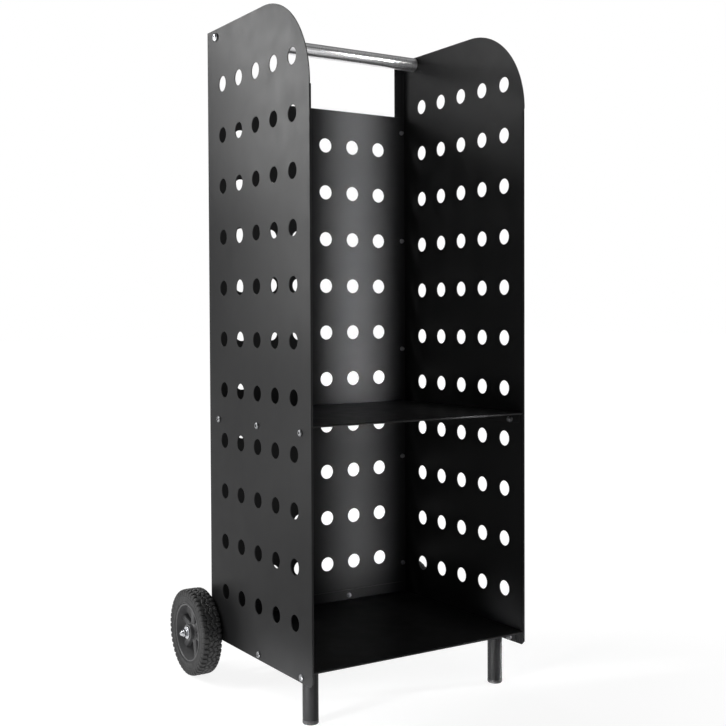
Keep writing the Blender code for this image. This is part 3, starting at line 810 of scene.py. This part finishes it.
def weld_bead(radius, height):
    """A ring of overlapping weld ripples in the corner under a plate at that height."""
    shape = bmesh.new()
    rings = []
    for step in range(WELD_AROUND):
        angle = 2 * math.pi * step / WELD_AROUND
        ripple = WELD_RIPPLE * abs(math.sin(WELD_RIPPLES * angle / 2)) + WELD_WANDER * math.sin(3 * angle + 1)
        ring = []
        for part in range(WELD_ACROSS):
            turn = 2 * math.pi * part / WELD_ACROSS
            reach = WELD_REACH + ripple
            out = radius + WELD_INSET + reach * math.cos(turn)
            rise = height - WELD_INSET + reach * math.sin(turn)
            ring.append(shape.verts.new((out * math.cos(angle), out * math.sin(angle), rise)))
        rings.append(ring)
    tunnel(shape, zip(rings, rings[1:] + rings[:1]))
    return shape


def leg_plate(side, sign):
    """The angle plate on a leg's top, folded from flat: u is the distance from the middle, v is world Y."""
    low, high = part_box(f"leg_{side}")
    outer = max(abs(low[0]), abs(high[0]))
    inner = min(abs(low[0]), abs(high[0]))
    level = high[2] - LEG_PLATE / 2
    quarter = LEG_BEND * math.pi / 2 - LEG_BEND
    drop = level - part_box("bottom_shelf")[0][2] - GAP
    reach = outer - LEG_PLATE / 2 + quarter + drop - LEG_BEND
    outline = rounded_rectangle((inner, low[1]), (reach, high[1]), PLATE_CORNER)
    bolt = f"bottom_shelf_bolt_{side}_1"
    hole_u = outer - LEG_PLATE / 2 + quarter + level - middle(bolt, 2) - LEG_BEND
    plate = sheet([outline, bolt_hole((hole_u, middle(bolt, 1)), M6)], LEG_PLATE)
    fold(plate, 0, outer - LEG_PLATE / 2 - LEG_BEND, 1, LEG_BEND, 90, -1)
    axes = axes_matrix((sign, 0, 0), (0, 1, 0), (0, 0, 1), (0, 0, level))
    bmesh.ops.transform(plate, matrix=axes, verts=plate.verts)
    return plate


def leg(side, sign):
    """A leg tube welded under its angle plate."""
    low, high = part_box(f"leg_{side}")
    top = high[2] - LEG_PLATE / 2
    profile = [(LEG_RADIUS, top), (LEG_RADIUS, low[2] + 0.0003), (LEG_RADIUS - 0.0003, low[2])]
    profile += [(LEG_RADIUS - LEG_WALL, low[2]), (LEG_RADIUS - LEG_WALL, top)]
    tube = lathe(profile, TUBE_STEPS)
    bead = weld_bead(LEG_RADIUS, high[2] - LEG_PLATE - 0.0012)
    centre = (middle(f"leg_foot_{side}", 0), middle(f"leg_foot_{side}", 1), 0)
    for shape in (tube, bead):
        bmesh.ops.translate(shape, verts=shape.verts, vec=centre)
    mesh = finished(merged(tube, bead, leg_plate(side, sign)))
    add(f"leg_{side}_look", mesh, COAT, "black_coat", "frame", f"leg_{side}", smooth=30, weighted=True)


def foot_cap(side):
    """The plastic cap in a leg's lower end."""
    low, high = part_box(f"leg_foot_{side}")
    radius = (high[0] - low[0]) / 2
    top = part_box(f"leg_{side}")[0][2] - GAP
    plug = LEG_RADIUS - LEG_WALL - GAP
    cap = [(0, high[2]), (plug - 0.001, high[2]), (plug, high[2] - 0.001), (plug, top)]
    cap += [(radius - 0.0004, top), (radius, top - 0.0004)]
    cap += [(radius, top * 0.62), (radius - 0.0003, top * 0.56)]
    cap += arc((radius - 0.0025, 0.0025), 0.0025, 0, -90, 6)
    cap += [(radius * 0.55, 0), (radius * 0.50, 0.0006), (0, 0.0006)]
    mesh = finished(lathe(cap, TUBE_STEPS))
    mesh.transform(Matrix.Translation((middle(f"leg_foot_{side}", 0), middle(f"leg_foot_{side}", 1), 0)))
    add(f"foot_cap_{side}", mesh, FOOT_PLASTIC, "black_plastic", "frame", f"leg_foot_{side}", smooth=30)


def axle_bracket(side, sign):
    """The U bracket on the rear flange, folded from flat: u is the distance from the middle, v is world Z."""
    low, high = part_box(f"axle_bracket_{side}")
    inner = min(abs(low[0]), abs(high[0]))
    outer = max(abs(low[0]), abs(high[0]))
    ear = high[1] - AXLE_Y
    base = low[1] + BRACKET / 2
    quarter = BRACKET_BEND * math.pi / 2 - BRACKET_BEND
    half = (outer - inner) / 2 - BRACKET / 2
    along = half + quarter - base
    line = half - BRACKET_BEND
    right = arc((along + AXLE_Y, AXLE_Z), ear, -90, 30, 20)
    tip = along + low[1] + 2 * BRACKET
    tab = line - 0.0010
    right += [(tip, BRACKET_EAR_TOP - 0.0015), (tip - 0.0015, BRACKET_EAR_TOP)]
    right += [(tab + 0.0010, BRACKET_EAR_TOP), (tab, BRACKET_EAR_TOP + 0.0010)]
    right += [(tab, high[2] - 0.002), (tab - 0.002, high[2])]
    outline = right + [(-u, v) for u, v in reversed(right)]
    loops = [outline]
    for turn in (1, -1):
        loops.append(circle((turn * (along + AXLE_Y), AXLE_Z), AXLE_RADIUS + 2 * GAP, BORE_STEPS))
    centre = (inner + outer) / 2
    for node in (f"back_panel_bolt_{side}_1", f"axle_bracket_bolt_{side}"):
        loops.append(bolt_hole((abs(middle(node, 0)) - centre, middle(node, 2)), M5))
    shape = sheet(loops, BRACKET, 0.0005)
    for turn in (1, -1):
        fold(shape, 0, turn * line, turn, BRACKET_BEND, 90, 1)
    axes = axes_matrix((sign, 0, 0), (0, 0, 1), (0, 1, 0), (sign * centre, base, 0))
    mesh = finished(shape, axes)
    add(f"axle_bracket_{side}_look", mesh, COAT, "black_coat", "frame", f"axle_bracket_{side}", weighted=True)


def axle():
    """The axle rod, with a chamfer at each end."""
    radius = (AXLE_HIGH[2] - AXLE_LOW[2]) / 2
    half = AXLE_HIGH[0]
    chamfer = 0.0008
    rod = [(0, half), (radius - chamfer, half), (radius, half - chamfer), (radius, chamfer - half)]
    rod += [(radius - chamfer, -half), (0, -half)]
    mesh = finished(lathe(rod, ROD_STEPS))
    mesh.transform(outward(1, 0, AXLE_Y, AXLE_Z))
    add("axle_rod", mesh, ZINC, "zinc", "frame", "axle", smooth=30)


def axle_ring(side, sign, node, soft):
    """A ring on the axle: a spacer or a washer, with edges rounded by the soft amount."""
    low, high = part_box(f"{node}_{side}")
    start = min(abs(low[0]), abs(high[0]))
    length = high[0] - low[0]
    size = (high[2] - low[2]) / 2
    bore = AXLE_BORE
    ring = [(size - soft, length), (size, length - soft), (size, soft), (size - soft, 0)]
    ring += [(bore + soft, 0), (bore, soft), (bore, length - soft), (bore + soft, length)]
    mesh = finished(lathe(ring, TUBE_STEPS))
    mesh.transform(outward(sign, start, AXLE_Y, AXLE_Z))
    add(f"{node}_{side}_look", mesh, ZINC, "zinc", "frame", f"{node}_{side}", smooth=40)


def dome_nut(side, sign):
    """The dome nut on an axle end: a hexagon with its corners turned off, a dome and the rod's bore."""
    low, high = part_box(f"wheel_cap_nut_{side}")
    start = min(abs(low[0]), abs(high[0]))
    height = high[0] - low[0]
    corner = (high[2] - low[2]) / 2
    flats = corner * math.sqrt(3) * 0.985
    skirt = height * 0.50
    cone = [(0, skirt), (flats * 0.46, skirt), (corner, skirt - 0.0012)]
    cone += [(corner, 0.0006), (flats * 0.48, 0), (0, 0)]
    dome = [(0, height)]
    for step in range(1, NUT_DOME_STEPS + 1):
        angle = math.radians(90 * step / NUT_DOME_STEPS)
        rise = skirt - 0.001 + (height - skirt + 0.001) * math.cos(angle)
        dome.append((flats * 0.44 * math.sin(angle), rise))
    dome.append((0, dome[-1][1]))
    reach = AXLE_HIGH[0] + GAP - start
    hollow = lathe([(0, reach), (AXLE_BORE, reach), (AXLE_BORE, -0.001), (0, -0.001)], BOLT_STEPS)
    nut = combine(prism(flats, 0, skirt), lathe(cone, ROD_STEPS), "INTERSECT")
    nut = combine(nut, lathe(dome, ROD_STEPS), "UNION")
    mesh = finished(combine(nut, hollow, "DIFFERENCE"))
    mesh.transform(outward(sign, start, AXLE_Y, AXLE_Z))
    add(f"dome_nut_{side}", mesh, ZINC, "zinc", "frame", f"wheel_cap_nut_{side}", smooth=30)


# ---------------------------------------------------------------- wheels


def smooth_step(value, low, high):
    """Rises smoothly from 0 at low to 1 at high."""
    share = min(max((value - low) / (high - low), 0), 1)
    return share * share * (3 - 2 * share)


def triangle_wave(value):
    """Runs from -1 to 1 and back once a unit."""
    return 4 * abs(value - math.floor(value + 0.5)) - 1


def tread_depth(turn, across, radius):
    """How deep the tread is cut, from 0 to 1, at a share of a turn, a distance across and a radius."""
    wave = triangle_wave(turn * ZIGZAGS)
    cuts = []
    for line, swing in GROOVES:
        away = abs(across - line - swing * wave)
        cuts.append(1 - smooth_step(away, 0.0005, 0.0013))
    pitch = 2 * math.pi * radius / (2 * ZIGZAGS)
    side = 1 if across > 0 else -1
    phase = turn * 2 * ZIGZAGS + 0.5 - 0.25 * side
    lateral = abs(phase - math.floor(phase + 0.5)) * pitch
    if abs(across) > TREAD_EDGE + EDGE_SWING * side * wave:
        cuts.append(1 - smooth_step(lateral, 0.0010, 0.0022))
    else:
        phase += 0.5 + across / SIPE_SLANT
        narrow = abs(phase - math.floor(phase + 0.5)) * pitch
        cuts.append(SIPE_DEPTH - SIPE_DEPTH * smooth_step(narrow, 0.0003, 0.0011))
    return max(cuts)


def tyre_section(half, radius):
    """Points evenly spaced along the tyre's superellipse section, from seat to seat, as radius and width."""
    centre = radius - TYRE_BULGE
    seat = math.asin(((centre - TYRE_SEAT) / TYRE_BULGE) ** (TYRE_POWER / 2))
    fine = []
    for step in range(SECTION_STEPS + 1):
        angle = -seat + (math.pi + 2 * seat) * step / SECTION_STEPS
        sine, cosine = math.sin(angle), math.cos(angle)
        out = centre + TYRE_BULGE * math.copysign(abs(sine) ** (2 / TYRE_POWER), sine)
        fine.append((out, half * math.copysign(abs(cosine) ** (2 / TYRE_POWER), cosine)))
    lengths = [0]
    for point, after in zip(fine, fine[1:]):
        lengths.append(lengths[-1] + math.dist(point, after))
    section = []
    place = 0
    for step in range(TYRE_ACROSS + 1):
        while place < SECTION_STEPS and lengths[place] < lengths[-1] * step / TYRE_ACROSS:
            place += 1
        section.append(fine[place])
    return section


def tyre_point(turn, out, across):
    """A point of the section, moved by the tread's cuts and the sidewall's ribs, as radius and width."""
    side_share = smooth_step(out, TREAD_START, TREAD_START + TREAD_BLEND)
    cut = TREAD_CUT * tread_depth(turn, across, out) * side_share
    if abs(across) <= SIDEWALL_START:
        return out - cut, across
    rib = sum(RIB_HEIGHT * math.exp(-(((out - place) / RIB_WIDTH) ** 2)) for place in SIDEWALL_RIBS)
    inward = (SIDEWALL_SINK - rib) * (1 - side_share) + 0.35 * cut
    return out - cut, across - math.copysign(inward, across)


def tyre_mesh():
    """A moulded tyre about Z: superellipse section, raised sidewall rings and a zigzag block tread."""
    shape = bmesh.new()
    low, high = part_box("tyre_left")
    section = tyre_section((high[0] - low[0]) / 2, (high[2] - low[2]) / 2)
    rings = []
    for step in range(TYRE_AROUND):
        turn = step / TYRE_AROUND
        angle = 2 * math.pi * turn
        ring = []
        for out, across in section:
            spot, reach = tyre_point(turn, out, across)
            ring.append(shape.verts.new((spot * math.cos(angle), spot * math.sin(angle), reach)))
        rings.append(ring)
    tunnel(shape, zip(rings, rings[1:] + rings[:1]))
    return finished(shape)


def spoke(angle):
    """One spoke, flared where it meets the hub and the barrel, with a rib down its face."""
    shape = bmesh.new()
    rings = []
    for out, width, depth in SPOKE_STATIONS:
        ring = []
        for step in range(SPOKE_STEPS):
            turn = 2 * math.pi * step / SPOKE_STEPS
            across = math.copysign(abs(math.cos(turn)) ** SPOKE_ROUND, math.cos(turn)) * width
            rise = math.copysign(abs(math.sin(turn)) ** SPOKE_ROUND, math.sin(turn)) * depth
            if rise > 0:
                rise += SPOKE_RIB_HEIGHT * math.exp(-((across / SPOKE_RIB_WIDTH) ** 2))
            ring.append(shape.verts.new((out, across, rise)))
        rings.append(ring)
    tunnel(shape, zip(rings, rings[1:]))
    shape.faces.new(rings[0])
    shape.faces.new(rings[-1])
    bmesh.ops.rotate(shape, verts=shape.verts, matrix=Matrix.Rotation(angle, 3, "Z"))
    return shape


def rim_mesh():
    """The moulded rim about Z: a lipped barrel with a bead seat, six ribbed spokes and a stepped hub."""
    edge = RIM_HALF
    lip = [(RIM_INSIDE + 0.0012, edge), (RIM_RADIUS - 0.0005, edge), (RIM_RADIUS, edge - 0.0005)]
    lip += [(RIM_RADIUS, edge - 0.0022)]
    barrel = lip + [(x, -y) for x, y in reversed(lip)]
    barrel += [(RIM_INSIDE + 0.0002, 0.0010 - edge), (RIM_INSIDE, 0.0030 - edge)]
    barrel += [(RIM_INSIDE - 0.0014, -0.0055), (RIM_INSIDE - 0.0014, 0.0055)]
    barrel += [(RIM_INSIDE, edge - 0.0030), (RIM_INSIDE + 0.0002, edge - 0.0010)]
    low, high = HUB_SPAN
    bore = BUSH_RADIUS + GAP
    hub = [(bore, high), (HUB_RADIUS - 0.0008, high), (HUB_RADIUS, high - 0.0008)]
    hub += [(HUB_RADIUS, high - 0.0030), (HUB_RADIUS - 0.0012, high - 0.0040)]
    hub += [(HUB_RADIUS - 0.0012, 0.0070), (HUB_RADIUS, 0.0056)]
    hub += [(HUB_RADIUS, -0.0056), (HUB_RADIUS - 0.0012, -0.0070), (HUB_RADIUS - 0.0012, low + 0.0006)]
    hub += [(HUB_RADIUS - 0.0018, low), (bore, low)]
    spokes = [spoke(math.radians(90 + SPOKE_TURN + 360 * number / SPOKES)) for number in range(SPOKES)]
    return finished(merged(lathe(barrel, RIM_STEPS), lathe(hub, TUBE_STEPS), *spokes))


def bush_mesh():
    """The bush in the hub, about Z, with its outer edges chamfered."""
    low, high = HUB_SPAN
    bore = AXLE_RADIUS + GAP
    edge = 0.0004
    sleeve = [(BUSH_RADIUS, high - edge), (BUSH_RADIUS, low + edge), (BUSH_RADIUS - edge, low), (bore, low)]
    sleeve += [(bore, high), (BUSH_RADIUS - edge, high)]
    return finished(lathe(sleeve, ROD_STEPS))


def wheels():
    """Both wheels: tyre, rim and bush, each turning with its wheel."""
    tyre = tyre_mesh()
    rim = rim_mesh()
    bush = bush_mesh()
    for side, sign in SIDES.items():
        place = outward(sign, abs(middle(f"tyre_{side}", 0)), AXLE_Y, AXLE_Z)
        pieces = ((f"tyre_{side}", f"tyre_{side}_tread", tyre, RUBBER, "tyre_rubber", 40),)
        pieces += ((f"wheel_rim_{side}", f"wheel_{side}_rim", rim, PLASTIC, "black_plastic", 35),)
        pieces += ((f"wheel_bush_{side}", f"wheel_{side}_bush", bush, PLASTIC, "black_plastic", 35),)
        for node, name, mesh, material, slot_name, smooth in pieces:
            piece = add(name, mesh, material, slot_name, f"{side}_wheel", node, smooth=smooth)
            piece.matrix_world = place
            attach(piece, f"{side}_wheel")


# ---------------------------------------------------------------- studio


def floor():
    """A plain pale floor, wide enough to fill the view."""
    shape = bmesh.new()
    bmesh.ops.create_grid(shape, x_segments=8, y_segments=8, size=FLOOR_SIZE / 2)
    mesh = bpy.data.meshes.new("floor")
    shape.to_mesh(mesh)
    shape.free()
    mesh.materials.append(studio_floor())
    obj = bpy.data.objects.new("floor", mesh)
    bpy.context.scene.collection.objects.link(obj)


def world():
    """A white surround: bright where it is seen, dimmer as light."""
    surround = bpy.data.worlds.new("studio")
    bpy.context.scene.world = surround
    surround.use_nodes = True
    tree = surround.node_tree
    tree.nodes.clear()
    path = tree.nodes.new("ShaderNodeLightPath")
    seen = tree.nodes.new("ShaderNodeBackground")
    seen.inputs["Color"].default_value = (1, 1, 1, 1)
    seen.inputs["Strength"].default_value = 1.0
    unseen = tree.nodes.new("ShaderNodeBackground")
    unseen.inputs["Color"].default_value = (1, 1, 1, 1)
    unseen.inputs["Strength"].default_value = SURROUND_LIGHT
    mix = tree.nodes.new("ShaderNodeMixShader")
    output = tree.nodes.new("ShaderNodeOutputWorld")
    tree.links.new(path.outputs["Is Camera Ray"], mix.inputs["Fac"])
    tree.links.new(unseen.outputs["Background"], mix.inputs[1])
    tree.links.new(seen.outputs["Background"], mix.inputs[2])
    tree.links.new(mix.outputs["Shader"], output.inputs["Surface"])


def softbox(name, place, target, size, power, spread=180):
    """A rectangular area light at a place, facing a target, its power in watts and its spread in degrees."""
    data = bpy.data.lights.new(name, "AREA")
    data.shape = "RECTANGLE"
    data.size, data.size_y = size
    data.energy = power
    data.spread = math.radians(spread)
    obj = bpy.data.objects.new(name, data)
    bpy.context.scene.collection.objects.link(obj)
    direction = Vector(target) - Vector(place)
    obj.matrix_world = Matrix.Translation(place) @ direction.to_track_quat("-Z", "Y").to_matrix().to_4x4()
    obj.visible_camera = False


def lights():
    """Softboxes up the rear left make the side sheet's sheen. Two narrow strips in front light the case
    inside, and two small ones light the legs. Each side, the front, the rear and the top have soft light."""
    softbox("rear_left_lowest", (-0.70, 0.34, 0.36), (-0.2, -0.15, 0.3), (0.16, 0.30), 0.88)
    softbox("rear_left_low", (-0.70, 0.46, 0.74), (-0.2, -0.1, 0.6), (0.18, 0.32), 2.3)
    softbox("rear_left_middle", (-0.70, 0.62, 1.10), (-0.2, -0.1, 0.9), (0.20, 0.34), 3.7)
    softbox("rear_left_high", (-0.70, 0.84, 1.42), (-0.2, -0.1, 1.0), (0.22, 0.28), 3.0)
    softbox("left_softbox", (-1.0, -0.35, 0.40), (-0.2, -0.05, 0.2), (0.5, 0.7), 0.8)
    softbox("left_leg_strip", (-0.78, -0.30, 0.06), (-0.1824, -0.1753, 0.035), (0.24, 0.07), 0.45, 20)
    softbox("right_leg_strip", (0.80, -0.36, 0.05), (0.1824, -0.1753, 0.035), (0.08, 0.06), 0.12, 10)
    softbox("front_strip_high", (0.096, -1.2, 0.855), (0.096, 0.0, 0.855), (0.04, 0.75), 1.80, 8)
    softbox("front_strip_low", (0.096, -1.2, 0.30), (0.096, 0.0, 0.30), (0.04, 0.36), 0.43, 8)
    softbox("front_softbox", (0.3, -1.8, 1.45), (0.0, 0.1, 1.1), (1.8, 1.5), 5.0)
    softbox("right_softbox", (1.5, -1.0, 0.5), (0.2, 0.0, 0.4), (1.0, 1.0), 8.0)
    softbox("rear_softbox", (0.25, 2.3, 1.1), (0.0, 0.1, 0.6), (1.0, 1.2), 12.0)
    softbox("overhead_softbox", (0.3, -0.3, 3.0), (0.0, 0.0, 0.6), (2.5, 2.5), 6.0)


def camera():
    """The photograph's viewing angle."""
    data = bpy.data.cameras.new("camera")
    data.lens = CAMERA_LENS
    data.sensor_width = CAMERA_SENSOR
    data.shift_y = CAMERA_SHIFT
    obj = bpy.data.objects.new("camera", data)
    bpy.context.scene.collection.objects.link(obj)
    turn = Matrix.Rotation(math.radians(-CAMERA_YAW), 4, "Z")
    tilt = Matrix.Rotation(math.radians(90 - CAMERA_TILT), 4, "X")
    roll = Matrix.Rotation(math.radians(CAMERA_ROLL), 4, "Z")
    obj.matrix_world = Matrix.Translation(CAMERA_PLACE) @ turn @ tilt @ roll
    bpy.context.scene.camera = obj


# ---------------------------------------------------------------- everything

for side, sign in SIDES.items():
    side_panel(side, sign)
    leg(side, sign)
    foot_cap(side)
    axle_bracket(side, sign)
back_panel()
shelf("middle_shelf", rear_up=False)
shelf("bottom_shelf", rear_up=True)
bolts()
handle()
axle()
for side, sign in SIDES.items():
    axle_ring(side, sign, "wheel_spacer", 0.0003)
    axle_ring(side, sign, "wheel_washer", 0.0004)
    dome_nut(side, sign)
wheels()
floor()
world()
lights()
camera()
bpy.context.scene.view_settings.view_transform = "Standard"
